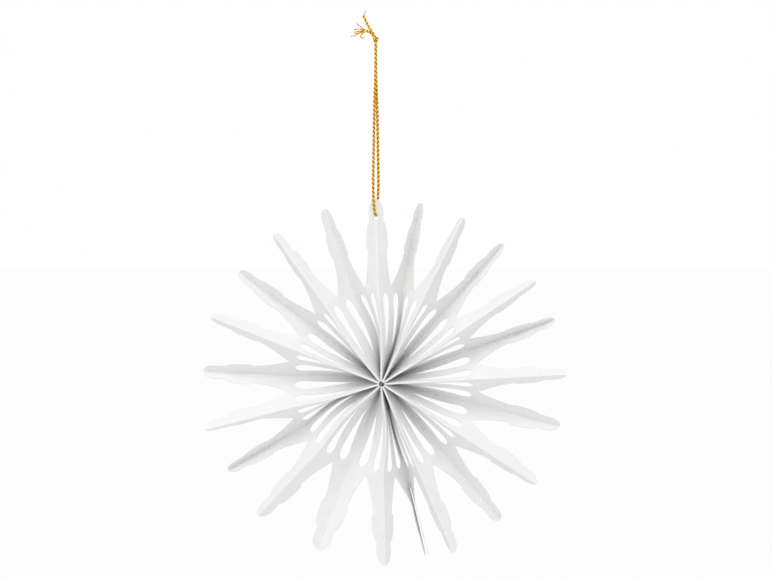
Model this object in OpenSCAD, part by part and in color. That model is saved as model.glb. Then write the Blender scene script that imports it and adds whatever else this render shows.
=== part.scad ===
// Paper snowflake decoration: one die-cut strip of white card, pleated into 22 folds,
// fanned round into a star and closed by a glue tab, hung on a loop of metallic cord.
// The star faces -Y and hangs in the XZ plane. The origin is where the loop is hung,
// right under the knot of the cord. Units are millimetres.

/* [Star] */
// Folds round the star, front ridges and rear valleys together
fold_count = 22; // [18:2:26]
// Radius from the centre to the end of a point
tip_r = 62.5; // [61.5:0.5:66]
// Width of one panel of the strip, from fold to fold
panel_w = 16; // [15:0.5:18]
// Thickness of the card
card_t = 0.22; // [0.18:0.01:0.28]
// Gap between neighbouring layers where the pleats are gathered at the centre
layer_gap = 0.05; // [0.04:0.01:0.12]
// How far a panel bows sideways between its folds
panel_bow = 0.9; // [0:0.1:1]

/* [Cut outline of a point] */
// Radius of the notch between two points, measured along the folds
notch_r = 33; // [32:0.5:35]
// Radius of the waist, where the flare ends and the side lobe begins
waist_r = 45.5; // [44:0.5:47]
// Width of the waist, from the fold to the edge
waist_w = 4.5; // [4:0.1:4.8]
// Width of the side lobe, from the fold to the edge
side_lobe_w = 5.3; // [5:0.1:6]
// Radius of the neck between the side lobe and the end lobe
neck_r = 55; // [54:0.5:55.5]
// Width of the neck, from the fold to the edge
neck_w = 2.9; // [2.6:0.1:3.2]
// Width of the end lobe, from the fold to the edge
end_lobe_w = 3.5; // [3.3:0.1:4]
// Length of the rounded part of the end lobe
end_round = 4.6; // [3.8:0.1:5]
// Width of the blunt end of a point, from the fold to the edge
blunt_w = 0.9; // [0.6:0.1:1.4]

/* [Teardrop slots] */
// Radius where a slot begins, at its pointed end
slot_in_r = 10.5; // [9:0.5:13]
// Radius where a slot ends, at its round end
slot_out_r = 31; // [29:0.5:31.5]
// Widest width of a slot
slot_w = 4.1; // [3:0.1:4.5]
// Width of a slot at its pointed end
slot_point_w = 0.3; // [0.2:0.1:0.6]
// Distance from a fold to the middle line of the slot beside it
slot_offset = 4.5; // [4.2:0.1:4.7]

/* [Seam] */
// Radius where the glue tab ends and the two half points of the seam part
tab_r = 38.4; // [37:0.2:40]
// Width of the glue tab, from the seam to its edge
tab_w = 5.6; // [5:0.2:6.4]
// Distance between the two half points of the seam at their ends
seam_part = 1; // [0.8:0.1:1.6]

/* [Hanging hole and cord] */
// Distance from the end of the top point to the middle of its hole
hole_inset = 6.1; // [5:0.1:6.1]
// Diameter of the hole punched on the fold
hole_d = 2.4; // [2.2:0.1:2.6]
// Diameter of the cord
cord_d = 1; // [0.8:0.1:1.1]
// Clearance between the cord and the edge of the hole that it carries
cord_clear = 0.2; // [0.15:0.05:0.3]
// Length of the loop, from the knot down to the middle of the cord in the hole
loop_len = 58; // [55:1:90]
// Diameter of the knot
knot_d = 2.4; // [2.2:0.1:3]
// Height of the knot
knot_h = 2.4; // [2:0.1:3]
// Diameter of a frayed tail at the knot
tail_d = 0.5; // [0.4:0.1:0.7]

/* [Centre thread] */
// Radius of the holes that the thread runs through, measured along the folds
tie_r = 3; // [2.8:0.1:3.6]
// Diameter of the thread that gathers the pleats
thread_d = 0.4; // [0.3:0.05:0.5]
// Clearance between the thread and the edge of its holes, all round
thread_clear = 0.15; // [0.1:0.05:0.25]

/* [Hidden] */
card_colour = [0.94, 0.94, 0.93];
gold_colour = [0.86, 0.66, 0.2];
thread_colour = [0.9, 0.9, 0.88];

// Azimuths are seen from the front, 0 to the right and 90 up. Fold 0 is the top ridge and
// the folds follow clockwise. Even folds are front ridges and odd ones are rear valleys.
TOP_AZ = 92;
HUB_AZ = 97.5;
SEAM_FOLD = 11;

// The pleats aren't even: how wide each panel spreads, in shares of the circle
SPREAD = [14, 14, 15, 15, 14, 17, 17, 19, 17, 17, 9,
          13, 22, 22, 17, 15, 18, 18, 16, 17, 17, 17];
// How far each fold leans between the hub and the notch, in degrees of azimuth: pleats that
// are pressed shut on one side leave the next one wide
LEAN = [-2, -6, 0, 1, -2, 0, 0, 0, 0, 0, 0,
        -3.5, 5, 0, -5, -10, 2.5, -3, 0, 0, 3, -10];
// How each panel bows, as a share of the bow: toward its ridge, or below 0 toward its valley,
// where that one is pressed shut
BOWED = [-0.3, -0.3, 1, 1, 1, 1, 1, 1, 1, 1, -0.3,
         -0.3, 1, 1, -0.3, -0.3, 1, 1, 1, 1, 0.4, 0.4];
// How far each point stands open at its end, in degrees from its middle plane: the side
// toward the fold before it, then the side toward the next fold
OPENING = [[44, 42], [26, 20], [20, 28], [28, 25], [30, 24], [26, 27], [32, 28], [39, 41],
           [46, 26], [38, 31], [38, 23], [4, 4], [32, 55], [58, 66], [50, 30], [31, 24],
           [16, 44], [40, 38], [27, 32], [29, 37], [23, 33], [30, 34]];

hub_r = fold_count * (card_t + layer_gap) / (2 * PI);
hub_step = 360 / fold_count;
spread_sum = share_before(fold_count);
tie_hole = thread_d + 2 * thread_clear;
lobe_step = 0.2;
// The hole lies past the neck, whatever the sizes
hole_r = max(tip_r - hole_inset, neck_r + lobe_step + hole_d / 2);
seat_r = hole_r + hole_d / 2 - cord_clear - cord_d / 2;
round_r = tip_r - end_round;

// Rows of points along the folds, from the centre out. The strip is whole up to the notch.
SLOT_STEPS = [0, 0.22, 0.48, 0.75, 0.92, 1];
SLOT_WIDEST = 0.85;
SLOT_TAPER = 0.65;
SLOT_ROW = 3;
base_r = concat([hub_r, tie_r - tie_hole / 2, tie_r + tie_hole / 2],
                [for (p = SLOT_STEPS) slot_in_r + p * (slot_out_r - slot_in_r)],
                [notch_r]);
base_rows = len(base_r);
last_slot_row = SLOT_ROW + len(SLOT_STEPS) - 1;
// Each panel has columns at its folds, its slot edges and its middle line
COLS = 7;
MID = 3;
// Past the notch each half panel has a column at its fold and one at its edge
EDGE_COLS = 4;
FLARE_CURVE = 1.7;
point_rows = len(plain_rows());

function lerp(a, b, k) = a + (b - a) * k;
function smooth(k) = let (c = min(1, max(0, k))) c * c * (3 - 2 * c);
function unit(v) = v / norm(v);
function wrap(i) = (i + fold_count) % fold_count;
function share_before(i) = i <= 0 ? 0 : SPREAD[(i - 1) % len(SPREAD)] + share_before(i - 1);
function is_front(i) = i % 2 == 0;
function seam_fold() = min(SEAM_FOLD, fold_count - 1);
function radial(az) = [cos(az), 0, sin(az)];
function clockwise(az) = [sin(az), 0, -cos(az)];

// Azimuth of a fold at its end, and at radius r: a straight line from the packed hub, but for
// its lean, which is widest at a third of the way to the notch
function tip_az(i) = TOP_AZ - 360 * share_before(i) / spread_sum;
function lean_at(r) = r > notch_r ? 0
    : let (q = (r - hub_r) / (notch_r - hub_r)) 27 / 4 * q * pow(1 - q, 2);
function fold_az(i, r) = lerp(tip_az(i), HUB_AZ - hub_step * i, hub_r / r)
    + LEAN[i % len(LEAN)] * lean_at(r);
function panel_angle(i) = i < 0 ? panel_angle(fold_count - 1)
    : 360 * SPREAD[i % len(SPREAD)] / spread_sum;
// Depth that one panel takes at the notch, with its true width from fold to fold
function panel_depth(i) = sqrt(pow(panel_w, 2) - pow(2 * notch_r * sin(panel_angle(i) / 2), 2));
function notch_depth(i) = (panel_depth(i - 1) + panel_depth(i)) / 4;
function fold_y(i, r) = (is_front(i) ? -1 : 1) * lerp(panel_w / 2, notch_depth(i), r / notch_r);
// A point of fold i, where folds past the last one carry on from the first
function fold_pt(i, r) = i < 0 ? fold_pt(i + fold_count, r)
    : i >= fold_count ? fold_pt(i - fold_count, r)
    : r * radial(fold_az(i, r)) + [0, fold_y(i, r), 0];

// Inner corner of a fold, where the inner faces of its two layers meet
function crease(at, dir_a, dir_b) =
    at + unit(dir_a + dir_b) * (card_t / 2) / (norm(dir_a - dir_b) / 2);
function crease_share(i, r, to) = let (
        a = unit(fold_pt(i - 1, r) - fold_pt(i, r)),
        b = unit(fold_pt(i + 1, r) - fold_pt(i, r)),
        half = asin(norm(a - b) / 2))
    (card_t / 2) / tan(half) / norm(fold_pt(to, r) - fold_pt(i, r));

// Half width of a slot at the share p of its length: a teardrop with a round outer end
function slot_half(p) = p < SLOT_WIDEST
    ? max(slot_point_w, slot_w * pow(p / SLOT_WIDEST, SLOT_TAPER)) / 2
    : slot_w / 2 * sqrt(1 - 0.8 * pow((p - SLOT_WIDEST) / (1 - SLOT_WIDEST), 2));
// Shares of the panel's width at which the near and far slot edges lie in row k
function near_share(k) = k < SLOT_ROW || k > last_slot_row ? slot_offset / panel_w
    : (slot_offset - slot_half(SLOT_STEPS[k - SLOT_ROW])) / panel_w;
function far_share(k) = k < SLOT_ROW ? 0.5 - tie_hole / 2 / panel_w
    : k > last_slot_row ? (slot_offset + slot_w / 2) / panel_w
    : (slot_offset + slot_half(SLOT_STEPS[k - SLOT_ROW])) / panel_w;
function col_share(k, j) = j > MID ? 1 - col_share(k, COLS - 1 - j)
    : [0, near_share(k), far_share(k), 0.5][j];

// On face 0 (front) valleys are hollow, and on face 1 (rear) ridges are
function is_hollow(i, face) = face == 0 ? !is_front(i) : is_front(i);
// The bow grows from the hub, is widest at two thirds of the notch radius and ends at the notch
function bow_at(r) = let (q = r / notch_r) panel_bow * 27 / 4 * q * q * (1 - q);

// Point of panel i in row k: face 0 or 1, column j
function base_pt(k, i, face, j) = let (r = base_r[k], a = fold_pt(i, r), b = fold_pt(i + 1, r))
    j == 0 && is_hollow(i, face) ? crease(a, unit(fold_pt(i - 1, r) - a), unit(b - a))
    : let (
        side = clockwise((fold_az(i, r) + far_az(i, r)) / 2),
        d = b - a,
        normal = unit(d[1] * side - [0, d * side, 0]) * (face == 0 ? 1 : -1),
        s = col_share(k, j),
        c = is_hollow(i, face) ? crease_share(i, r, i + 1) : crease_share(i + 1, r, i),
        t = is_hollow(i, face) ? (j <= MID ? max(s, c + (0.5 - c) * s) : s)
            : (j >= MID ? 1 - max(1 - s, c + (0.5 - c) * (1 - s)) : s),
        bow = BOWED[i % len(BOWED)] * (is_front(i) ? -1 : 1) * bow_at(r) * 4 * s * (1 - s))
    a + d * t + normal * card_t / 2 + side * bow;
function far_az(i, r) = i + 1 < fold_count ? fold_az(i + 1, r) : fold_az(0, r) - 360;

// Rows past the notch. The top point has rows round its hole, and the seam at its tab.
function flare_rows(mid) = [lerp(notch_r, tab_r, 0.5), tab_r, mid, waist_r - lobe_step];
function lobe_rows() = [waist_r + lobe_step, lerp(waist_r, neck_r, 0.55),
                        lerp(waist_r, neck_r, 0.88), neck_r];
function plain_rows() = concat(flare_rows(lerp(tab_r, waist_r, 0.5)), lobe_rows(),
    [neck_r + lobe_step, round_r, lerp(round_r, tip_r, 0.4), lerp(round_r, tip_r, 0.7),
     lerp(round_r, tip_r, 0.88), lerp(round_r, tip_r, 0.97), tip_r]);
HOLE_ROWS = [-1, -0.6, 0.1, 0.75, 1];
function hole_rows() = concat(flare_rows(lerp(tab_r, waist_r, 0.5)), lobe_rows(),
    [for (h = HOLE_ROWS) hole_r + h * hole_d / 2], [lerp(round_r, tip_r, 0.8), tip_r]);
function seam_rows() = let (p = plain_rows())
    [for (k = [0 : point_rows - 1]) k == 2 ? tab_r + lobe_step : p[k]];
function point_r(k, i) = (i == 0 ? hole_rows() : i == seam_fold() ? seam_rows() : plain_rows())[k];

// Width of a half point at radius r, from the fold to the edge
function point_w(r) = r < waist_r
    ? waist_w + (panel_w / 2 - waist_w) * pow((waist_r - r) / (waist_r - notch_r), FLARE_CURVE)
    : r <= neck_r ? lerp(neck_w, side_lobe_w, sqrt(1 - pow((r - waist_r) / (neck_r - waist_r), 3)))
    : max(r < round_r ? neck_w : blunt_w,
          end_lobe_w * sqrt(max(0, 1 - pow((r - round_r) / end_round, 2))));
function half_w(k, i, way) = i == seam_fold() && way > 0 && k < 2 ? max(tab_w, point_w(point_r(k, i)))
    : point_w(point_r(k, i));

// Rows in which a fold is cut through: the hole of the top point and the parted seam
function is_cut(k, i) = (i == 0 && k > 8 && k < 12) || (i == seam_fold() && k > 1);
function cut_w(k, i) = i == 0 ? sqrt(pow(hole_d / 2, 2) - pow(point_r(k, i) - hole_r, 2)) : 0;
function cut_shift(k, i) = i == 0 ? 0
    : lerp(card_t, seam_part / 2, (point_r(k, i) - tab_r) / (tip_r - tab_r));

// Direction across a half point from its fold: way -1 toward the fold before, 1 the next
function half_dir(i, r, way) = let (
        k = smooth((r - notch_r) / (waist_r - notch_r)),
        angle = panel_angle(way < 0 ? i - 1 : i),
        wide = 2 * notch_r * sin(angle / 2),
        deep = abs(fold_y(i, notch_r) - fold_y(wrap(i + way), notch_r)),
        open = lerp(atan2(wide, deep), OPENING[i % len(OPENING)][way < 0 ? 0 : 1], k),
        side = way * clockwise(tip_az(i) - way * angle / 2 * (1 - k)))
    sin(open) * side + [0, (is_front(i) ? 1 : -1) * cos(open), 0];
// The same direction turned to point out of the fold
function half_out(i, r, way) = let (d = half_dir(i, r, way), in = is_front(i) ? 1 : -1,
        across = unit([d[0], 0, d[2]]))
    across * abs(d[1]) - [0, in * norm([d[0], 0, d[2]]), 0];

// Point past the notch on panel i: columns 0 and 1 belong to fold i, 2 and 3 to the next
function point_pt(k, i, face, j) = let (
        fold = j < 2 ? i : wrap(i + 1),
        way = j < 2 ? 1 : -1,
        r = point_r(k, fold),
        at = fold_pt(fold, r),
        dir = half_dir(fold, r, way),
        out = half_out(fold, r, way) * card_t / 2 * (is_hollow(fold, face) ? -1 : 1),
        on_fold = j == 0 || j == 3)
    on_fold && !is_cut(k, fold) && is_hollow(fold, face)
        ? crease(at, half_dir(fold, r, -1), half_dir(fold, r, 1))
    : let (across = on_fold ? (is_cut(k, fold) ? cut_w(k, fold) : 0) : half_w(k, fold, way),
           shift = is_cut(k, fold) ? cut_shift(k, fold) * way : 0)
        at + dir * across + out + shift * clockwise(tip_az(fold));

// Index of each point. Both sides of a whole fold share its inner corner.
function base_id(k, i, face, j) = j == COLS - 1 && is_hollow(wrap(i + 1), face)
    ? base_id(k, wrap(i + 1), face, 0) : ((k * fold_count + i) * 2 + face) * COLS + j;
base_count = base_rows * fold_count * 2 * COLS;
function point_id(k, i, face, j) =
    j == EDGE_COLS - 1 && is_hollow(wrap(i + 1), face) && !is_cut(k, wrap(i + 1))
    ? point_id(k, wrap(i + 1), face, 0)
    : base_count + ((k * fold_count + i) * 2 + face) * EDGE_COLS + j;

star_points = concat(
    [for (k = [0 : base_rows - 1], i = [0 : fold_count - 1], face = [0, 1], j = [0 : COLS - 1])
        base_pt(k, i, face, j)],
    [for (k = [0 : point_rows - 1], i = [0 : fold_count - 1], face = [0, 1], j = [0 : EDGE_COLS - 1])
        point_pt(k, i, face, j)]);

// Four corners as two triangles, or as one where two corners are the same point
function quad(a, b, c, d) = [for (f = [[a, b, c], [a, c, d]])
    if (f[0] != f[1] && f[1] != f[2] && f[2] != f[0]) f];
// Both faces of a sheet are split along the same diagonal, so that they stay parallel
function both(front, rear) = concat(quad(front[0], front[1], front[2], front[3]),
    quad(rear[0], rear[3], rear[2], rear[1]));
function each_of(lists) = [for (l = lists) each l];

// Which cells of the whole strip are card: column cell 6 is the fold itself
function is_card(k, cell) = k >= 0
    && !(k >= SLOT_ROW && k < last_slot_row && (cell == 1 || cell == 4))
    && !(k == 1 && (cell == 2 || cell == 3));
function base_cell(k, i, j, face) = [base_id(k, i, face, j), base_id(k + 1, i, face, j),
    base_id(k + 1, i, face, j + 1), base_id(k, i, face, j + 1)];
function base_next(i, cell) = cell == COLS - 1 ? [wrap(i + 1), 0] : [i, cell + 1];
// Wall along column j between rows k and k + 1, with the card before it
function base_wall(k, i, j) = [base_id(k, i, 0, j), base_id(k + 1, i, 0, j),
    base_id(k + 1, i, 1, j), base_id(k, i, 1, j)];
// Wall along row k beyond the card of the row below
function base_end(k, i, cell) = let (n = base_next(i, cell)) [base_id(k, i, 0, cell),
    base_id(k, i, 1, cell), base_id(k, n[0], 1, n[1]), base_id(k, n[0], 0, n[1])];
function turned(f, turn) = turn ? quad(f[3], f[2], f[1], f[0]) : quad(f[0], f[1], f[2], f[3]);

base_faces = each_of([for (k = [0 : base_rows - 2], i = [0 : fold_count - 1]) concat(
    each_of([for (c = [0 : COLS - 2]) if (is_card(k, c))
        both(base_cell(k, i, c, 0), base_cell(k, i, c, 1))]),
    base_fold(k, i),
    each_of([for (c = [1 : COLS - 2]) if (is_card(k, c - 1) != is_card(k, c))
        turned(base_wall(k, i, c), is_card(k, c))]),
    each_of([for (c = [0 : COLS - 1]) if (is_card(k - 1, c) != is_card(k, c))
        turned(base_end(k, i, c), is_card(k, c))]))]);
// Outer edge of the fold after panel i
function base_fold(k, i) = let (n = wrap(i + 1), face = is_hollow(n, 0) ? 1 : 0,
        l = COLS - 1)
    turned([base_id(k, i, face, l), base_id(k + 1, i, face, l),
            base_id(k + 1, n, face, 0), base_id(k, n, face, 0)], face == 1);

// First row past the notch: each half panel narrows from its four columns to two
function fan(i, face) = let (b = [for (j = [0 : COLS - 1]) base_id(base_rows - 1, i, face, j)],
        p = [for (j = [0 : EDGE_COLS - 1]) point_id(0, i, face, j)])
    [[b[0], p[0], b[1]], [p[0], p[1], b[1]], [p[1], b[2], b[1]], [p[1], b[3], b[2]],
     [b[3], p[2], b[4]], [p[2], b[5], b[4]], [p[2], p[3], b[5]], [p[3], b[6], b[5]]];
function flipped(faces) = [for (f = faces) [f[2], f[1], f[0]]];
fan_faces = each_of([for (i = [0 : fold_count - 1]) let (
        last = base_rows - 1, n = wrap(i + 1), face = is_hollow(n, 0) ? 1 : 0)
    concat(fan(i, 0), flipped(fan(i, 1)),
        quad(base_id(last, i, 0, MID), point_id(0, i, 0, 1),
             point_id(0, i, 1, 1), base_id(last, i, 1, MID)),
        quad(base_id(last, i, 1, MID), point_id(0, i, 1, 2),
             point_id(0, i, 0, 2), base_id(last, i, 0, MID)),
        turned([base_id(last, i, face, COLS - 1), point_id(0, i, face, 3),
                point_id(0, n, face, 0), base_id(last, n, face, 0)], face == 1))]);

// Points past the notch: cells 0 and 2 are card, 1 is the gap and 3 is the fold
function is_whole(k, i) = k < point_rows - 1 && !is_cut(k, i) && !is_cut(k + 1, i);
function point_col(k, i, j) = [point_id(k, i, 0, j), point_id(k + 1, i, 0, j),
    point_id(k + 1, i, 1, j), point_id(k, i, 1, j)];
function point_cell(k, i, j, face) = [point_id(k, i, face, j), point_id(k + 1, i, face, j),
    point_id(k + 1, i, face, j + 1), point_id(k, i, face, j + 1)];
function point_end(k, i, j) = let (n = j == 3 ? [wrap(i + 1), 0] : [i, j + 1])
    [point_id(k, i, 0, j), point_id(k, i, 1, j), point_id(k, n[0], 1, n[1]),
     point_id(k, n[0], 0, n[1])];
function point_fold(k, i) = let (n = wrap(i + 1), face = is_hollow(n, 0) ? 1 : 0)
    turned([point_id(k, i, face, 3), point_id(k + 1, i, face, 3),
            point_id(k + 1, n, face, 0), point_id(k, n, face, 0)], face == 1);
point_faces = each_of([for (k = [0 : point_rows - 2], i = [0 : fold_count - 1])
    let (n = wrap(i + 1)) concat(
    both(point_cell(k, i, 0, 0), point_cell(k, i, 0, 1)),
    both(point_cell(k, i, 2, 0), point_cell(k, i, 2, 1)),
    turned(point_col(k, i, 1), false),
    turned(point_col(k, i, 2), true),
    is_whole(k, n) ? point_fold(k, i)
        : concat(turned(point_col(k, i, 3), false), turned(point_col(k, n, 0), true)))]);
// Ends of the points, of the hole and of the parted seam
end_faces = each_of([for (i = [0 : fold_count - 1]) let (n = wrap(i + 1), top = point_rows - 1)
    concat(turned(point_end(top, i, 0), false), turned(point_end(top, i, 2), false),
        each_of([for (k = [0 : point_rows - 1]) let (below = k == 0 || is_whole(k - 1, n))
            if (below != is_whole(k, n)) turned(point_end(k, i, 3), is_whole(k, n))]))]);

module folded_star() {
    color(card_colour) translate(star_at)
        polyhedron(star_points, concat(base_faces, fan_faces, point_faces, end_faces));
}

// The middle of the cord in the hole hangs right under the origin
hole_pt = fold_pt(0, seat_r);
star_at = [-hole_pt[0], -hole_pt[1], -loop_len - hole_pt[2]];

// Thread that gathers the pleats, through a hole in the middle of every panel
module centre_thread() {
    color(thread_colour) translate(star_at) rotate([90, 0, 0])
        rotate_extrude($fn = 48) translate([tie_r * cos(hub_step / 2), 0])
            circle(d = thread_d, $fn = 16);
}

// Route of the cord from the knot down the front, through the hole and up behind the
// point: x, y and the height above the middle of the cord in the hole
CORD_LOW = [[-0.1, -0.6, 46], [-0.45, -0.6, 36], [-0.8, -0.9, 14], [-0.75, -1.2, 6],
            [-0.5, -1.25, 2.4], [-0.25, -1.05, 0.8], [-0.05, -0.5, 0.1], [0, 0.4, 0],
            [0.05, 1.3, 0.3], [0.25, 1.95, 1.3], [0.45, 2.25, 3], [0.7, 1.9, 8],
            [0.8, 1.2, 14], [0.45, 0.6, 36], [0.1, 0.6, 46]];
CORD_SIDES = 8;
RINGS_PER_SPAN = 4;
strand_y = cord_d / 2 + 0.1;
cord_route = concat([[0, -strand_y, 0], [0, -strand_y, -5]],
    [for (p = CORD_LOW) [p[0], p[1], p[2] - loop_len]],
    [[0, strand_y, -5], [0, strand_y, 0]]);
cord_spans = len(cord_route) - 1;
function route(i) = cord_route[min(cord_spans, max(0, i))];
function spline(a, b, c, d, k) = b + (c - a) * k / 2
    + (2 * a - 5 * b + 4 * c - d) * k * k / 2 + (3 * b - a - 3 * c + d) * k * k * k / 2;
cord_line = concat([for (i = [0 : cord_spans - 1], q = [0 : RINGS_PER_SPAN - 1])
    spline(route(i - 1), route(i), route(i + 1), route(i + 2), q / RINGS_PER_SPAN)],
    [cord_route[cord_spans]]);
rings = len(cord_line);
// The cord turns in one plane near enough, so its rings keep one sideways direction
function heading(q) = q == 0 || q == rings - 1 ? [0, 0, q == 0 ? -1 : 1]
    : unit(cord_line[q + 1] - cord_line[q - 1]);
function ring(q) = let (h = heading(q), u = unit(cross(h, cross([1, 0, 0], h))), v = cross(h, u))
    [for (a = [0 : CORD_SIDES - 1]) cord_line[q]
        + cord_d / 2 * (cos(360 * a / CORD_SIDES) * u + sin(360 * a / CORD_SIDES) * v)];
module hanging_cord() {
    s = CORD_SIDES;
    sides = [for (q = [0 : rings - 2], a = [0 : s - 1]) let (b = (a + 1) % s)
        each [[q * s + a, q * s + b, (q + 1) * s + b], [q * s + a, (q + 1) * s + b, (q + 1) * s + a]]];
    ends = each_of([for (a = [1 : s - 2])
        [[0, a + 1, a], [(rings - 1) * s, (rings - 1) * s + a, (rings - 1) * s + a + 1]]]);
    color(gold_colour) polyhedron([for (q = [0 : rings - 1]) each ring(q)],
        flipped(concat(sides, ends)));
}

// Knot above the hang point, with the frayed tails of both ends: tilt to the left, length
TAILS = [[18, 10], [27, 9.5], [48, 8.5], [75, 8.8]];
module cord_knot() {
    color(gold_colour) union() {
        rotate_extrude($fn = 32) intersection() {
            translate([0, knot_h / 2]) scale([knot_d / knot_h, 1]) circle(d = knot_h * 1.1, $fn = 32);
            square([knot_d, knot_h]);
        }
        for (tail = TAILS)
            translate([0, 0, knot_h / 2]) rotate([0, -tail[0], 0])
                cylinder(d1 = tail_d, d2 = tail_d / 2, h = tail[1], $fn = 16);
    }
}

folded_star();
centre_thread();
hanging_cord();
cord_knot();
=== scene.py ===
import math

import bpy
import numpy as np
from mathutils import Matrix


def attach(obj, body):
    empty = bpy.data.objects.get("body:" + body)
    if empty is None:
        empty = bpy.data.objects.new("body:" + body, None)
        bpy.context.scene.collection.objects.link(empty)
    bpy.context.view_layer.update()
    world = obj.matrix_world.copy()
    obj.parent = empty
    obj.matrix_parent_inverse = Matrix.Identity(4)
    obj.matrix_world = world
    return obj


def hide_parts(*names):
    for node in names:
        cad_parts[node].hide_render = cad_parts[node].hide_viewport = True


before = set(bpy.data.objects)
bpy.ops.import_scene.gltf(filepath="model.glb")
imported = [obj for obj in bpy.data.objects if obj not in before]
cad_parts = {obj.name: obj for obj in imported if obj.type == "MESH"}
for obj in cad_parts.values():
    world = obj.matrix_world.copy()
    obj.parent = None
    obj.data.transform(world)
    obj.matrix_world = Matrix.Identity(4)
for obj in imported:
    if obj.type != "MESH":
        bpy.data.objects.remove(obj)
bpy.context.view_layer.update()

MM = 0.001

# Sizes in mm, as in the part's own frame
N = 22                  # folds, front ridges and rear valleys by turns
TIP_R = 62.5            # from the hub's axis to the tips
PANEL_W = 16.0          # width of a panel between two folds
CARD_T = 0.22
LAYER_GAP = 0.05        # between layers of card at the hub
BOW = 0.9               # how far a panel bows at most
NOTCH_R = 33.0          # where the points part
WAIST_R = 45.5
WAIST_W = 4.5           # half width of a point at its waist; SIDE_W, NECK_W and END_W are half widths too
SIDE_W = 5.3
NECK_R = 55.0
NECK_W = 2.9
END_W = 3.5
END_ROUND = 4.6         # length of the rounded end
BLUNT_W = 0.45
SLOT_IN = 10.5
SLOT_OUT = 31.0
SLOT_W = 4.1
SLOT_OFF = 4.5          # from a fold to the middle of its slot
TAB_R = 38.4            # the glue tab ends here
TAB_W = 5.6
SEAM_PART = 1.0         # how far the two half tips of the seam stand apart
HOLE_INSET = 6.1
HOLE_D = 2.4
CORD_D = 1.0
CORD_CLEAR = 0.2
LOOP = 58.0             # from under the knot to the cord's seat in the hole
TIE_R = 3.0             # the thread's holes in the panels
TIE_HOLE = 0.7
TOP_AZ = 92.0           # direction of the top point's tip, in degrees from +X toward +Z
HUB_AZ = 97.5           # direction of its fold at the hub
SEAM = 11               # the fold that the glue tab closes
FOLD_RHO = 0.17         # radius of a fold at the card's middle surface
POINT_RHO = 0.08        # how much larger it is out on a point
PEAK = 27 / 4           # makes q * q * (1 - q) and q * (1 - q) ** 2 peak at 1
FLARE_CURVE = 1.7       # how fast a point narrows from its notch to its waist
LOBE_STEP = 0.5         # length of the steps at the waist and past the neck

# Share of the turn from each point to the next, and how far each point stands open on both sides
SPREAD = [14, 14, 15, 15, 14, 17, 17, 19, 17, 17, 9,
          13, 22, 22, 17, 15, 18, 18, 16, 17, 17, 17]
OPENING = [[44, 42], [26, 20], [20, 28], [28, 25], [30, 24], [26, 27], [32, 28], [39, 41],
           [46, 26], [38, 31], [38, 23], [4, 4], [32, 55], [58, 66], [50, 30], [31, 24],
           [16, 44], [40, 38], [27, 32], [29, 37], [23, 33], [30, 34]]
# How far each fold leans between hub and notch, and how much each panel bows toward its ridge
LEAN = [-2, -6, 0, 1, -2, 0, 0, 0, 0, 0, 0, -3.5, 5, 0, -5, -10, 2.5, -3, 0, 0, 3, -10]
BOWED = [-0.3, -0.3, 1, 1, 1, 1, 1, 1, 1, 1, -0.3,
         -0.3, 1, 1, -0.3, -0.3, 1, 1, 1, 1, 0.4, 0.4]

HUB_R = N * (CARD_T + LAYER_GAP) / (2 * math.pi)
HOLE_R = TIP_R - HOLE_INSET
SEAT_R = HOLE_R + HOLE_D / 2 - CORD_CLEAR - CORD_D / 2
ROUND_R = TIP_R - END_ROUND

total = sum(SPREAD)
tip_az = np.array([TOP_AZ - 360.0 * sum(SPREAD[:i]) / total for i in range(N)])
angle = np.array([360.0 * s / total for s in SPREAD])
depth = np.sqrt(PANEL_W ** 2 - (2 * NOTCH_R * np.sin(np.radians(angle / 2))) ** 2)
notch_depth = np.array([(depth[i - 1] + depth[i]) / 4 for i in range(N)])
front = np.array([i % 2 == 0 for i in range(N)])


def fold_az(i, r):
    """Direction of fold i at radius r: even at the hub, at its own place at the tip, leaning between."""
    end = tip_az[i % N] - (360 if i >= N else 0)
    q = np.clip((r - HUB_R) / (NOTCH_R - HUB_R), 0, 1)
    return end + (HUB_AZ - 360.0 / N * i - end) * HUB_R / r + LEAN[i % N] * PEAK * q * (1 - q) ** 2


def fold_y(i, r):
    """Depth of fold i at radius r: before the middle plane for a front ridge, behind for a valley."""
    i %= N
    return (-1 if front[i] else 1) * (PANEL_W / 2 + (notch_depth[i] - PANEL_W / 2) * r / NOTCH_R)


def fold_pt(i, r):
    """Places of fold i at radii r, from the star's own centre."""
    az = np.radians(fold_az(i, r))
    return np.stack([r * np.cos(az), fold_y(i, r) + 0 * r, r * np.sin(az)], -1)


def smooth(k):
    """0 to 1 with level ends."""
    c = np.clip(k, 0, 1)
    return c * c * (3 - 2 * c)


seat = fold_pt(0, np.array([SEAT_R]))[0]
STAR_AT = np.array([-seat[0], -seat[1], -LOOP - seat[2]])

# Camera
hub = STAR_AT + np.array([0, -PANEL_W / 2, 0])     # where the front ridges meet
VIEW_AZ = 3.0
VIEW_EL = 5.3
DIST = 627.0
PICTURE_W = 772
PICTURE_H = 579
FOCAL_PX = 1853.0       # focal length in pixels of the picture
HUB_X_PX = 381.6        # where the hub stands in the picture
HUB_Y_PX = 384.1
view_az = math.radians(VIEW_AZ)
view_el = math.radians(VIEW_EL)
cam_at = hub + DIST * np.array([math.sin(view_az) * math.cos(view_el),
                                -math.cos(view_az) * math.cos(view_el), math.sin(view_el)])
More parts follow.
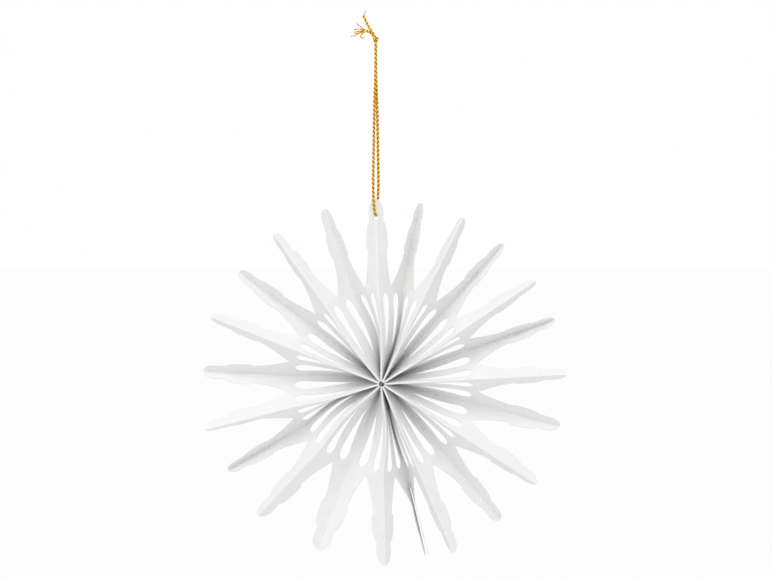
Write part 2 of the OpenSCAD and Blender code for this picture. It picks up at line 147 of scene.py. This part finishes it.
# The camera is turned so that the hub lands at its place in the picture, not at the middle
hub_x = (HUB_X_PX - PICTURE_W / 2) / FOCAL_PX
hub_y = (PICTURE_H / 2 - HUB_Y_PX) / FOCAL_PX
reach = math.sqrt(1 + hub_x ** 2 + hub_y ** 2)
tilt = math.asin(reach * math.sin(-view_el) / math.sqrt(1 + hub_y ** 2)) - math.atan2(hub_y, 1)
yaw = view_az + math.atan2(hub_x, math.cos(tilt) - hub_y * math.sin(tilt))
camera = bpy.data.objects.new("Camera", bpy.data.cameras.new("Camera"))
bpy.context.scene.collection.objects.link(camera)
camera.location = cam_at * MM
camera.rotation_euler = (math.pi / 2 + tilt, 0, yaw)
camera.data.sensor_width = 36
camera.data.lens = camera.data.sensor_width * FOCAL_PX / PICTURE_W
camera.data.clip_start = 0.01
camera.data.clip_end = 50
bpy.context.scene.camera = camera


# Materials
def material(name, colour, roughness, metallic=0.0):
    """A new Principled material, its node tree and its shader."""
    m = bpy.data.materials.new(name)
    m.use_nodes = True
    s = m.node_tree.nodes["Principled BSDF"]
    s.inputs["Base Color"].default_value = (*colour, 1)
    s.inputs["Roughness"].default_value = roughness
    s.inputs["Metallic"].default_value = metallic
    return m, m.node_tree, s


def node(tree, kind, **values):
    """A new node with some of its inputs or settings given."""
    n = tree.nodes.new(kind)
    for key, value in values.items():
        if key in n.inputs:
            n.inputs[key].default_value = value
        else:
            setattr(n, key, value)
    return n


def ramp(tree, source, low, high, start, end):
    """Maps start to end of a source onto low to high."""
    r = tree.nodes.new("ShaderNodeMapRange")
    tree.links.new(source, r.inputs["Value"])
    for name, value in (("From Min", start), ("From Max", end), ("To Min", low), ("To Max", high)):
        r.inputs[name].default_value = value
    return r.outputs["Result"]


def mix(tree, factor, one, two):
    """A colour between two, each a plain colour or an output."""
    m = tree.nodes.new("ShaderNodeMix")
    m.data_type = "RGBA"
    tree.links.new(factor, m.inputs["Factor"])
    for socket, value in (("A", one), ("B", two)):
        target = [s for s in m.inputs if s.name == socket and s.type == "RGBA"][0]
        if isinstance(value, tuple):
            target.default_value = (*value, 1)
        else:
            tree.links.new(value, target)
    return [s for s in m.outputs if s.type == "RGBA"][0]


def card_material(name, colour, roughness, grain):
    """Matt card with faint clouds in its colour and a fine fibre in its gloss and relief."""
    m, t, s = material(name, colour, roughness)
    s.inputs["Specular IOR Level"].default_value = 0.3
    at = t.nodes.new("ShaderNodeTexCoord").outputs["Object"]
    fibre = node(t, "ShaderNodeTexNoise", Scale=2600.0, Detail=4.0, Roughness=0.65)
    cloud = node(t, "ShaderNodeTexNoise", Scale=260.0, Detail=3.0, Roughness=0.5)
    for n in (fibre, cloud):
        t.links.new(at, n.inputs["Vector"])
    dark = tuple(c * 0.975 for c in colour)
    light = ramp(t, cloud.outputs["Fac"], 0, 1, 0.35, 0.65)
    t.links.new(mix(t, light, dark, colour), s.inputs["Base Color"])
    t.links.new(ramp(t, fibre.outputs["Fac"], roughness - 0.08, roughness + 0.08, 0.3, 0.7),
                s.inputs["Roughness"])
    bump = node(t, "ShaderNodeBump", Strength=grain, Distance=0.000006)
    t.links.new(fibre.outputs["Fac"], bump.inputs["Height"])
    t.links.new(bump.outputs["Normal"], s.inputs["Normal"])
    return m


def strand_material(name, bright, dull, roughness, scale, metallic):
    """A strand whose colour and gloss change along its UVs."""
    m, t, s = material(name, bright, roughness, metallic)
    at = t.nodes.new("ShaderNodeUVMap").outputs["UV"]
    wrap = node(t, "ShaderNodeTexNoise", Scale=scale, Detail=3.0, Roughness=0.6)
    t.links.new(at, wrap.inputs["Vector"])
    shine = ramp(t, wrap.outputs["Fac"], 0, 1, 0.35, 0.65)
    t.links.new(mix(t, shine, dull, bright), s.inputs["Base Color"])
    t.links.new(ramp(t, wrap.outputs["Fac"], roughness - 0.1, roughness + 0.12, 0.3, 0.7),
                s.inputs["Roughness"])
    bump = node(t, "ShaderNodeBump", Strength=0.5, Distance=0.00005)
    t.links.new(wrap.outputs["Fac"], bump.inputs["Height"])
    t.links.new(bump.outputs["Normal"], s.inputs["Normal"])
    return m


CARD = card_material("white_card", (0.9, 0.9, 0.895), 0.72, 0.12)
CARD_EDGE = card_material("card_cut_edge", (0.84, 0.84, 0.83), 0.85, 0.8)
GOLD = strand_material("gold_foil", (0.95, 0.60, 0.05), (0.80, 0.36, 0.015), 0.2, 9.0, 1.0)
# Nearly black gold for the faces between the two plies: painted shade in the grooves of the twist, not a
# thread of its own
PAINTED_GROOVE_SHADE = strand_material("gold_groove_painted_shade", (0.11, 0.035, 0.004), (0.05, 0.014, 0.002), 0.5, 9.0, 1.0)
THREAD = strand_material("white_thread", (0.8, 0.8, 0.78), (0.7, 0.7, 0.68), 0.8, 60.0, 0.0)


def add_mesh(name, verts, quads, mats, slots=None, sharp=None, uv=None):
    """An object from points in mm, with its material slots, sharp edges and UVs."""
    mesh = bpy.data.meshes.new(name)
    mesh.from_pydata((np.asarray(verts) * MM).tolist(), [], [list(map(int, q)) for q in quads])
    for m in mats:
        mesh.materials.append(m)
    n = len(mesh.polygons)
    mesh.polygons.foreach_set("use_smooth", np.ones(n, dtype=bool))
    if slots is not None:
        mesh.polygons.foreach_set("material_index", np.asarray(slots, dtype=np.int32))
    if sharp is not None:
        ends = np.empty(len(mesh.edges) * 2, dtype=np.int64)
        mesh.edges.foreach_get("vertices", ends)
        ends = ends.reshape(-1, 2)
        keys = ends.min(1) * len(verts) + ends.max(1)
        flags = np.isin(keys, np.asarray(list(sharp), dtype=np.int64))
        layer = mesh.attributes.new("sharp_edge", "BOOLEAN", "EDGE")
        layer.data.foreach_set("value", flags)
    if uv is not None:
        layer = mesh.uv_layers.new(name="UVMap")
        loops = np.empty(len(mesh.loops), dtype=np.int64)
        mesh.loops.foreach_get("vertex_index", loops)
        layer.data.foreach_set("uv", np.asarray(uv, dtype=np.float32)[loops].ravel())
    mesh.update()
    obj = bpy.data.objects.new(name, mesh)
    bpy.context.scene.collection.objects.link(obj)
    return obj


# Cord
CORD_LOW = [[-0.1, -0.6, 46], [-0.45, -0.6, 36], [-0.8, -0.9, 14], [-0.75, -1.2, 6],
            [-0.5, -1.25, 2.4], [-0.25, -1.05, 0.8], [-0.05, -0.5, 0.1], [0, 0.4, 0],
            [0.05, 1.3, 0.3], [0.25, 1.95, 1.3], [0.45, 2.25, 3], [0.7, 1.9, 8],
            [0.8, 1.2, 14], [0.45, 0.6, 36], [0.1, 0.6, 46]]
STRAND_Y = CORD_D / 2 + 0.1
route = np.array([[0, -STRAND_Y, 0], [0, -STRAND_Y, -5]]
                 + [[x, y, z - LOOP] for x, y, z in CORD_LOW]
                 + [[0, STRAND_Y, -5], [0, STRAND_Y, 0]], dtype=float)
SEAT_POINT = 2 + 7


def spline(points, step=0.1):
    """An even line through the points, and the length along it."""
    p = np.vstack([points[:1], points, points[-1:]])
    out = []
    for i in range(len(points) - 1):
        a, b, c, d = p[i:i + 4]
        n = max(4, int(np.linalg.norm(c - b) / step))
        k = (np.arange(n) / n)[:, None]
        out.append(b + (c - a) * k / 2 + (2 * a - 5 * b + 4 * c - d) * k * k / 2
                   + (3 * b - a - 3 * c + d) * k ** 3 / 2)
    out.append(points[-1:])
    line = np.vstack(out)
    along = np.concatenate([[0], np.cumsum(np.linalg.norm(np.diff(line, axis=0), axis=1))])
    n = max(4, int(along[-1] / step))
    at = np.linspace(0, along[-1], n + 1)
    return np.stack([np.interp(at, along, line[:, j]) for j in range(3)], -1), at


def frames(line):
    """Directions along a line and two across it that don't twist."""
    t = np.gradient(line, axis=0)
    t /= np.linalg.norm(t, axis=1)[:, None]
    u = np.cross(t[0], [0.3, 1, 0.1])
    u /= np.linalg.norm(u)
    us = []
    for d in t:
        u = u - d * np.dot(u, d)
        u /= np.linalg.norm(u)
        us.append(u)
    us = np.array(us)
    return t, us, np.cross(t, us)


def tube(name, line, along, radius_at, lay, mats, slot_at, sides):
    """A closed tube along a line: its radius by angle and length, its plies twisted once a lay."""
    t, u, v = frames(line)
    th = 2 * math.pi * np.arange(sides) / sides
    psi = th[None, :] - along[:, None] * (2 * math.pi / lay if lay else 0)
    rad = radius_at(psi, along[:, None])
    pts = (line[:, None] + rad[..., None] * (np.cos(th)[None, :, None] * u[:, None]
                                            + np.sin(th)[None, :, None] * v[:, None]))
    n = len(line)
    verts = pts.reshape(-1, 3)
    q, s = np.meshgrid(np.arange(n - 1), np.arange(sides), indexing="ij")
    s2 = (s + 1) % sides
    quads = np.stack([q * sides + s, q * sides + s2, (q + 1) * sides + s2, (q + 1) * sides + s], -1)
    quads = quads.reshape(-1, 4)
    mid = ((psi[:-1] + psi[1:]) / 2 + math.pi / sides)
    slots = np.asarray(slot_at(mid)).ravel().astype(int)
    verts = np.vstack([verts, line[:1], line[-1:]])
    faces = quads.tolist()
    for k in range(sides):
        k2 = (k + 1) % sides
        faces.append([n * sides, k2, k])
        faces.append([n * sides + 1, (n - 1) * sides + k, (n - 1) * sides + k2])
    slots = np.concatenate([slots, np.zeros(2 * sides, int)])
    uv = np.stack([np.cos(psi) * 0.5, along[:, None] + 0.3 * np.sin(psi)], -1).reshape(-1, 2)
    uv = np.vstack([uv, [[0, 0], [0, along[-1]]]])
    return add_mesh(name, verts, faces, mats, slots, uv=uv)


PLY_R = 0.36            # radius of each of the two plies, as a share of the cord
PLY_AT = 0.14           # their distance from the cord's axis
LAY = 2.9               # length of one full twist
# Bound on |cos| of the angle from the plies' line, under which a face takes the painted groove shade
GROOVE_SHARE = 0.52


def ply(psi, along):
    """Outline of two plies side by side, by the angle from the line through them."""
    return (PLY_AT * np.abs(np.cos(psi)) + np.sqrt(PLY_R ** 2 - (PLY_AT * np.sin(psi)) ** 2)) * CORD_D


# The faces in the grooves between the plies, which take the painted shade
def is_painted_groove_shade(psi):
    return np.abs(np.cos(psi)) < GROOVE_SHARE


line, along = spline(route, 0.09)
cut = int(np.argmin(np.linalg.norm(line - route[SEAT_POINT], axis=1)))
strands = []
for name, part, at in (("cord_front_strand", line[:cut + 1][::-1], along[:cut + 1][::-1]),
                       ("cord_back_strand", line[cut:], along[cut:])):
    piece = tube(name, part, at, ply, LAY, [GOLD, PAINTED_GROOVE_SHADE], is_painted_groove_shade, 18)
    strands.append((piece, part))

# Knot and frayed ends
KNOT_AT = np.array([0, 0, 1.25])
KNOT_SCALE = 0.25
KNOT_DEPTH = 0.42
KNOT_LAY = 2.6
KNOT_CORD = 0.86        # the cord is drawn in this much where it is knotted


def knot_line():
    """A trefoil, closed, with its three crossings in the plane of the star."""
    t = np.linspace(0, 2 * math.pi, 160)
    x = np.sin(t) + 2 * np.sin(2 * t)
    z = np.cos(t) - 2 * np.cos(2 * t)
    y = -np.sin(3 * t)
    return KNOT_AT + np.stack([x * KNOT_SCALE, y * KNOT_DEPTH, z * KNOT_SCALE], -1)


pts = knot_line()
along_k = np.concatenate([[0], np.cumsum(np.linalg.norm(np.diff(pts, axis=0), axis=1))])
knot = tube("knot_wraps", pts, along_k, lambda psi, at: ply(psi, at) * KNOT_CORD, KNOT_LAY,
            [GOLD, PAINTED_GROOVE_SHADE], is_painted_groove_shade, 16)


def tail(name, points, first_r, last_r, lay, sides=10):
    """A twisted end of the cord that thins from one radius to another."""
    path, along = spline(np.array(points, dtype=float), 0.08)

    def radius_at(psi, at):
        return (first_r + (last_r - first_r) * (at / along[-1])) * ply(psi, at) / (CORD_D / 2)

    return tube(name, path, along, radius_at, lay, [GOLD, PAINTED_GROOVE_SHADE], is_painted_groove_shade, sides)


WHOLE = [[-0.2, 0, 1.9], [-0.9, -0.1, 3.2], [-1.9, -0.1, 4.8], [-2.9, 0, 6.6], [-4.2, 0.1, 9.3]]
THREAD_END = [[-4.1, 0.1, 9.1], [-3.9, 0.2, 9.9], [-3.5, 0.1, 10.5], [-3.1, 0, 10.9]]
SECOND = [[-0.3, 0.3, 1.8], [-1.2, 0.4, 3.1], [-2.3, 0.5, 3.9], [-3.3, 0.5, 4.1], [-4.1, 0.5, 4.0]]
tails = [tail("tail_whole", WHOLE, 0.5, 0.44, 2.6, 16),
         tail("tail_thread", THREAD_END, 0.2, 0.14, 1.8),
         tail("tail_second", SECOND, 0.52, 0.44, 2.2, 16)]
WISPS = [[[-3.4, 0.4, 4.2], [-4.6, 0.2, 4.2], [-5.7, 0.3, 4.0], [-6.8, 0.5, 3.9], [-7.3, 0.4, 3.8]],
         [[-3.4, 0.5, 4.1], [-4.8, 0.7, 4.0], [-6.2, 0.9, 3.2], [-7.4, 0.8, 2.6], [-8.5, 0.7, 2.4]],
         [[-3.0, 0.5, 4.2], [-4.2, 0.9, 4.9], [-5.2, 1.0, 5.7], [-6.0, 0.9, 6.3], [-6.5, 0.8, 6.9]],
         [[-3.4, 0.5, 4.1], [-4.6, 0.0, 4.6], [-5.6, -0.2, 4.8], [-6.6, -0.1, 4.7], [-7.6, 0.1, 4.5]],
         [[-3.2, 0.4, 4.0], [-4.4, 0.2, 3.7], [-5.6, -0.1, 3.5], [-6.6, -0.2, 3.3], [-7.5, -0.1, 3.5]],
         [[-3.4, 0.4, 4.0], [-4.3, 0.1, 3.4], [-5.0, -0.2, 2.6], [-4.9, -0.1, 1.9], [-4.2, 0.0, 1.7],
          [-3.8, 0.1, 2.3]]]
for k, points in enumerate(WISPS):
    tails.append(tail("tail_wisp_%d" % k, points, 0.28, 0.16, 1.8))


# Star: outline of the card
SLOT_WIDEST = 0.85      # share of the slot's length, from its inner end, where it is widest
SLOT_TAPER = 0.65


def slot_half(p):
    """Half width of a teardrop slot, at a share of its length."""
    tapered = SLOT_W / 2 * np.power(np.clip(p, 0, 1) / SLOT_WIDEST, SLOT_TAPER)
    turn = (p - SLOT_WIDEST) / (1 - SLOT_WIDEST)
    rounded = SLOT_W / 2 * np.sqrt(np.clip(1 - 0.998 * turn ** 2, 0, 1))
    return np.maximum(0.04, np.where(p < SLOT_WIDEST, tapered, rounded))


def slot_cols(r):
    """Half width that the slot's mesh columns span, also past the slot's ends."""
    p = (r - SLOT_IN) / (SLOT_OUT - SLOT_IN)
    inside = slot_half(p)
    past = 0.08 + 0.5 * smooth((r - SLOT_OUT) / (NOTCH_R - SLOT_OUT))
    return np.where(p <= 0, 0.06, np.where(p >= 1, past, inside))


def point_w(r):
    """Half width of a point: flare, waist, side lobe, neck and rounded end lobe."""
    flare_at = np.clip((WAIST_R - r) / (WAIST_R - NOTCH_R), 0, 1)
    flare = WAIST_W + (PANEL_W / 2 - WAIST_W) * flare_at ** FLARE_CURVE
    q = np.clip((r - WAIST_R) / (NECK_R - WAIST_R), 0, 1)
    lobe = NECK_W + (SIDE_W - NECK_W) * np.sqrt(1 - q ** 3)
    step = smooth((r - WAIST_R) / LOBE_STEP + 0.5)
    body = flare + (lobe - flare) * step
    e = np.clip((r - ROUND_R) / END_ROUND, 0, 1)
    end = np.maximum(BLUNT_W, END_W * np.sqrt(1 - e * e))
    end_in = NECK_W + (end - NECK_W) * np.sqrt(smooth((r - NECK_R) / LOBE_STEP))
    return np.where(r <= NECK_R, body, end_in)


# Radii of the mesh's rows, closer where the outline turns
SLOT_SHARES = [0, .03, .08, .15, .23, .32, .42, .52, .62, .71, .79, .85, .89, .92, .945, .965, .98, .992, 1]
before_slot = [HUB_R, 1.6, 2.2, TIE_R - TIE_HOLE / 2, TIE_R + TIE_HOLE / 2, 4.2, 5.4, 7.0, 9.0]
base_rows = np.array(before_slot + [SLOT_IN + p * (SLOT_OUT - SLOT_IN) for p in SLOT_SHARES]
                     + [31.6, 32.3, NOTCH_R])
before_hole = np.concatenate([
    NOTCH_R + np.array([0.15, 0.4, 0.8, 1.4, 2.2, 3.2, 4.3]),
    TAB_R + np.array([-0.05, 0.05]),
    WAIST_R + np.array([-5.7, -4.2, -2.7, -1.3, -0.5, -0.25, -0.15, -0.05, 0.05, 0.15, 0.25]),
    WAIST_R + np.array([0.7, 1.5, 2.5, 3.6, 4.7, 5.7, 6.6, 7.4, 8.1, 8.65]),
    NECK_R + np.array([-0.45, -0.2, -0.07, 0, 0.05, 0.1, 0.15])])
HOLE_ROWS = 12
point_rows = np.concatenate([
    before_hole,
    HOLE_R - HOLE_D / 2 * np.cos(np.pi * np.arange(HOLE_ROWS + 1) / HOLE_ROWS),
    TIP_R - np.array([4.5, 4.0, 3.4, 2.8, 2.3, 1.8, 1.35, 0.95, 0.6, 0.35, 0.18, 0.06, 0])])
NB = len(base_rows)
NR = NB + len(point_rows)
TIE_ROW = 3
FIRST_SLOT = len(before_slot)
LAST_SLOT = FIRST_SLOT + len(SLOT_SHARES) - 1
FIRST_PARTED = NB + 8                     # the first row past the glue tab
FIRST_HOLE = NB + len(before_hole)
LAST_HOLE = FIRST_HOLE + HOLE_ROWS
# Columns of a half panel: 3 cells round the fold, 2 to the slot, 3 over it, 2 to the middle
H = 11
C = 2 * H
SLOT_COLS = (5, 6, 7)


def half_columns(r, arc_len, half_len):
    """Distances of a half panel's columns from the fold, scaled to the length drawn there."""
    near, far = SLOT_OFF - slot_cols(r), SLOT_OFF + slot_cols(r)
    mid = PANEL_W / 2
    k = half_len / mid
    arc = arc_len / k
    cols = [0 * r, arc / 3, arc * 2 / 3, arc, (arc + near) / 2, near, near + (far - near) / 3,
            near + (far - near) * 2 / 3, far, mid - TIE_HOLE / 2 + 0 * r, mid + 0 * r]
    return np.stack(cols, -1) * np.asarray(k)[..., None]


# Star: middle surface of the card
def belt(i, r):
    """Profile of panel i at radii r: angle of its flat part, arc length, half length, fold radius."""
    A, B = fold_pt(i, r), fold_pt(i + 1, r)
    W = np.linalg.norm((B - A)[:, [0, 2]], axis=1)
    Hh = np.abs((B - A)[:, 1])
    rho = np.minimum(FOLD_RHO, W / 2 * 0.995)
    p, q = W / 2, Hh / 2 - rho
    R = np.hypot(p, q)
    phi = np.arctan2(q, p) + np.arcsin(np.clip(rho / R, 0, 1))
    return A, B, phi, rho * phi, rho * phi + np.sqrt(R * R - rho * rho), rho


def on_profile(dist, phi, rho):
    """Sideways and inward travel at a distance from the fold, round its arc and then straight."""
    arc = rho * phi
    k = np.minimum(dist / np.maximum(rho, 1e-9), phi)
    rest = np.maximum(dist - arc, 0)
    return rho * np.sin(k) + rest * np.cos(phi), rho * (1 - np.cos(k)) + rest * np.sin(phi)


def side_axis(az):
    """Direction across a panel or point, the way the folds are counted."""
    return np.stack([np.sin(az), 0 * az, -np.cos(az)], -1)


def panel_rows(i):
    """Both halves of panel i between hub and notch, from its two folds to its middle."""
    r = base_rows
    A, B, phi, arc, half, rho = belt(i, r)
    side = side_axis(np.radians((fold_az(i, r) + fold_az(i + 1, r)) / 2))[:, None]
    inward = np.array([0, 1 if front[i] else -1, 0])
    d = half_columns(r, arc, half)
    u, v = on_profile(d, phi[:, None], rho[:, None])
    q = (r / NOTCH_R)[:, None]
    s = d / (2 * half[:, None])
    bow = -inward[1] * BOWED[i] * BOW * PEAK * q * q * (1 - q) * 4 * s * (1 - s)
    first = A[:, None] + (u + bow)[..., None] * side + v[..., None] * inward
    last = B[:, None] - (u - bow)[..., None] * side - v[..., None] * inward
    return first, last[:, ::-1]


def point_half(i, way):
    """Half of the point on fold i: way -1 toward the fold before it, 1 toward the next."""
    r = point_rows
    k = smooth((r - NOTCH_R) / (WAIST_R - NOTCH_R))
    panel = i if way > 0 else (i - 1) % N
    notch = np.array([NOTCH_R])
    _, _, phi0, arc0, half0, _ = belt(panel, notch)
    phi1 = math.radians(90 - OPENING[i][0 if way < 0 else 1])
    phi = (phi0[0] + (phi1 - phi0[0]) * k)[:, None]
    own = tip_az[i]
    mid_az = (fold_az(panel, NOTCH_R) + fold_az(panel + 1, NOTCH_R)) / 2
    mid_az += 360 * round((own - mid_az) / 360)
    side = way * side_axis(np.radians(mid_az + (own - mid_az) * k))[:, None]

    w = point_w(r)
    if i == SEAM and way > 0:
        w = np.where(r < TAB_R, np.maximum(TAB_W, w), w)
    w = w * (half0[0] / (PANEL_W / 2) * (1 - k) + k)
    rho = (FOLD_RHO + POINT_RHO * k)[:, None]
    arc = rho * phi
    ref = half_columns(notch, arc0, half0)[0]
    share = (ref[3:] - ref[3]) / (ref[-1] - ref[3])
    d = np.concatenate([arc * np.array([0, 1 / 3, 2 / 3]), arc + (w[:, None] - arc) * share], 1)
    if i == 0:
        d = round_hole(d, w[:, None], r)
    u, v = on_profile(d, phi, rho)
    if i == SEAM:
        # Past the tab the two half points are flat, and stand a little apart
        parted = (r > TAB_R)[:, None]
        shift = CARD_T + (SEAM_PART / 2 - CARD_T) * (r - TAB_R) / (TIP_R - TAB_R)
        u = np.where(parted, shift[:, None] + d * np.cos(phi), u)
        v = np.where(parted, d * np.sin(phi), v)
    inward = np.array([0, 1 if front[i] else -1, 0])
    return fold_pt(i, r)[:, None] + u[..., None] * side + v[..., None] * inward


def round_hole(d, w, r):
    """Columns moved out from the fold, past the edge of the punched hole."""
    c = np.sqrt(np.clip((HOLE_D / 2) ** 2 - (r - HOLE_R) ** 2, 0, None))[:, None]
    c[np.abs(r - HOLE_R) > HOLE_D / 2 - 1e-6] = 0
    return np.where(c > 0, c + (w - c) * (d / w), d)


Q = np.zeros((NR, N, C, 3))
for i in range(N):
    Q[:NB, i, :H], Q[:NB, i, H:] = panel_rows(i)
    Q[NB:, i, :H] = point_half(i, 1)
    Q[NB:, (i - 1) % N, H:] = point_half(i, -1)[:, ::-1]

# Star: thickness and faces
# True where the fold before panel i is cut through, by the hole and past the glue tab
fold_open = np.zeros((NR, N), bool)
fold_open[FIRST_HOLE + 1:LAST_HOLE, 0] = True
fold_open[FIRST_PARTED:, SEAM] = True
fold_open_after = np.roll(fold_open, -1, axis=1)

# The neighbours of each point across the panel, round a fold where it isn't cut
before = np.empty_like(Q)
after = np.empty_like(Q)
before[:, :, 1:] = Q[:, :, :-1]
after[:, :, :-1] = Q[:, :, 1:]
before[:, :, 0] = np.where(fold_open[..., None], Q[:, :, 0], np.roll(Q, 1, axis=1)[:, :, C - 2])
after[:, :, C - 1] = np.where(fold_open_after[..., None], Q[:, :, C - 1], np.roll(Q, -1, axis=1)[:, :, 1])
after[:NB, :, H - 1] = Q[:NB, :, H + 1]
before[:NB, :, H] = Q[:NB, :, H - 2]
after[NB:, :, H - 1] = Q[NB:, :, H - 1]
before[NB:, :, H] = Q[NB:, :, H]
across = after - before
up = np.empty_like(Q)
up[1:-1] = Q[2:] - Q[:-2]
up[0] = Q[1] - Q[0]
up[-1] = Q[-1] - Q[-2]
up[NB - 1] = Q[NB - 1] - Q[NB - 2]
normal = np.cross(across, up)
normal /= np.maximum(np.linalg.norm(normal, axis=-1, keepdims=True), 1e-12)

# Both halves of a panel share its middle up to the notch, and two panels share an uncut fold
ids = np.arange(NR * N * C).reshape(NR, N, C)
ids[:NB, :, H] = ids[:NB, :, H - 1]
ids[:, :, C - 1] = np.where(fold_open_after, ids[:, :, C - 1], np.roll(ids, -1, axis=1)[:, :, 0])

# True where a cell is card: not the gap between the halves, the slots or the thread's holes
card = np.ones((NR - 1, N, C - 1), bool)
card[:, :, H - 1] = False
for c in SLOT_COLS:
    card[FIRST_SLOT:LAST_SLOT, :, c] = False
    card[FIRST_SLOT:LAST_SLOT, :, C - 2 - c] = False
card[TIE_ROW, :, [H - 2, H]] = False

quad = np.stack([ids[:-1, :, :-1], ids[:-1, :, 1:], ids[1:, :, 1:], ids[1:, :, :-1]], -1)[card]
total_ids = NR * N * C
half_card = normal.reshape(-1, 3) * CARD_T / 2
verts = np.vstack([Q.reshape(-1, 3) + half_card, Q.reshape(-1, 3) - half_card]) + STAR_AT

# An edge that no cell uses the other way round is a cut edge, and gets a wall
edges = np.concatenate([quad[:, [0, 1]], quad[:, [1, 2]], quad[:, [2, 3]], quad[:, [3, 0]]])
key = edges[:, 0] * total_ids + edges[:, 1]
back = edges[:, 1] * total_ids + edges[:, 0]
rim = edges[~np.isin(key, back)]
walls = np.stack([rim[:, 1], rim[:, 0], rim[:, 0] + total_ids, rim[:, 1] + total_ids], -1)
faces = np.concatenate([quad, quad[:, ::-1] + total_ids, walls])

# Only the points in use are kept
used, inverse = np.unique(faces, return_inverse=True)
verts = verts[used]
faces = inverse.reshape(faces.shape)
remap = np.full(2 * total_ids, -1)
remap[used] = np.arange(len(used))
sharp = []
for shift in (0, total_ids):
    e = remap[rim + shift]
    sharp.append(e.min(1) * len(verts) + e.max(1))
slots = np.concatenate([np.zeros(2 * len(quad), int), np.ones(len(walls), int)])
star = add_mesh("folded_paper_star", verts, faces, [CARD, CARD_EDGE], slots, np.concatenate(sharp))

# What each piece stands for
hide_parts("folded_star")
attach(star, "root")
for (piece, path), extra in zip(strands, ([knot] + tails, [])):
    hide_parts("hanging_cord")
    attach(piece, "root")
for piece in [knot] + tails:
    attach(piece, "root")
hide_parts("cord_knot")
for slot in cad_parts["centre_thread"].material_slots:
    slot.material = THREAD

# Stage and light
FLOOR_Z = -0.26         # m
FLOOR_HALF = 6.0        # m
FLOOR_GLOW = 0.93       # share of plain white in what the camera sees of the floor
AMBIENT = 0.72
KEY_AT = (-0.08, -0.7, 0.75)
KEY_TARGET = (0, 0, -0.12)
KEY_SIZE = 0.9
KEY_POWER = 4.6
world = bpy.data.worlds.new("World")
bpy.context.scene.world = world
world.use_nodes = True
wt = world.node_tree
wt.nodes.clear()
out = wt.nodes.new("ShaderNodeOutputWorld")
path_w = wt.nodes.new("ShaderNodeLightPath")


def seen(tree, path):
    """1 for rays from the camera, mirrors and glass, else 0."""
    total = path.outputs["Is Camera Ray"]
    for kind in ("Is Glossy Ray", "Is Transmission Ray"):
        either = node(tree, "ShaderNodeMath", operation="MAXIMUM")
        tree.links.new(total, either.inputs[0])
        tree.links.new(path.outputs[kind], either.inputs[1])
        total = either.outputs[0]
    return total


white = node(wt, "ShaderNodeBackground", Color=(1, 1, 1, 1), Strength=1.0)
dim = node(wt, "ShaderNodeBackground", Color=(1, 1, 1, 1), Strength=AMBIENT)
pick = wt.nodes.new("ShaderNodeMixShader")
wt.links.new(seen(wt, path_w), pick.inputs[0])
wt.links.new(dim.outputs[0], pick.inputs[1])
wt.links.new(white.outputs[0], pick.inputs[2])
wt.links.new(pick.outputs[0], out.inputs["Surface"])

floor_mat = bpy.data.materials.new("pale_floor")
floor_mat.use_nodes = True
# The glow shows to the camera, mirrors and glass only, so it isn't sampled as a lamp
floor_mat.cycles.emission_sampling = "NONE"
ft = floor_mat.node_tree
shader = ft.nodes["Principled BSDF"]
shader.inputs["Base Color"].default_value = (0.93, 0.93, 0.93, 1)
shader.inputs["Roughness"].default_value = 0.9
glow = node(ft, "ShaderNodeEmission", Color=(1, 1, 1, 1), Strength=1.0)
share = ft.nodes.new("ShaderNodeMath")
share.operation = "MULTIPLY"
share.inputs[1].default_value = FLOOR_GLOW
ft.links.new(seen(ft, ft.nodes.new("ShaderNodeLightPath")), share.inputs[0])
blend = ft.nodes.new("ShaderNodeMixShader")
ft.links.new(share.outputs[0], blend.inputs[0])
ft.links.new(shader.outputs[0], blend.inputs[1])
ft.links.new(glow.outputs[0], blend.inputs[2])
ft.links.new(blend.outputs[0], ft.nodes["Material Output"].inputs["Surface"])
corners = FLOOR_HALF * np.array([[-1, -1, 0], [1, -1, 0], [1, 1, 0], [-1, 1, 0]])
floor = add_mesh("floor", (corners + [0, 0, FLOOR_Z]) / MM, [[0, 1, 2, 3]], [floor_mat])


def area(name, at, target, size, power):
    """A soft round lamp at a place, turned to a target."""
    light = bpy.data.lights.new(name, "AREA")
    light.shape = "DISK"
    light.size = size
    light.energy = power
    obj = bpy.data.objects.new(name, light)
    bpy.context.scene.collection.objects.link(obj)
    z = np.array(at) - np.array(target)
    z /= np.linalg.norm(z)
    x = np.cross([0, 0, 1], z)
    x /= np.linalg.norm(x)
    y = np.cross(z, x)
    m = Matrix.Identity(4)
    for r in range(3):
        m[r][0], m[r][1], m[r][2], m[r][3] = x[r], y[r], z[r], at[r]
    obj.matrix_world = m


area("key", KEY_AT, KEY_TARGET, KEY_SIZE, KEY_POWER)
bpy.context.scene.view_settings.view_transform = "Standard"
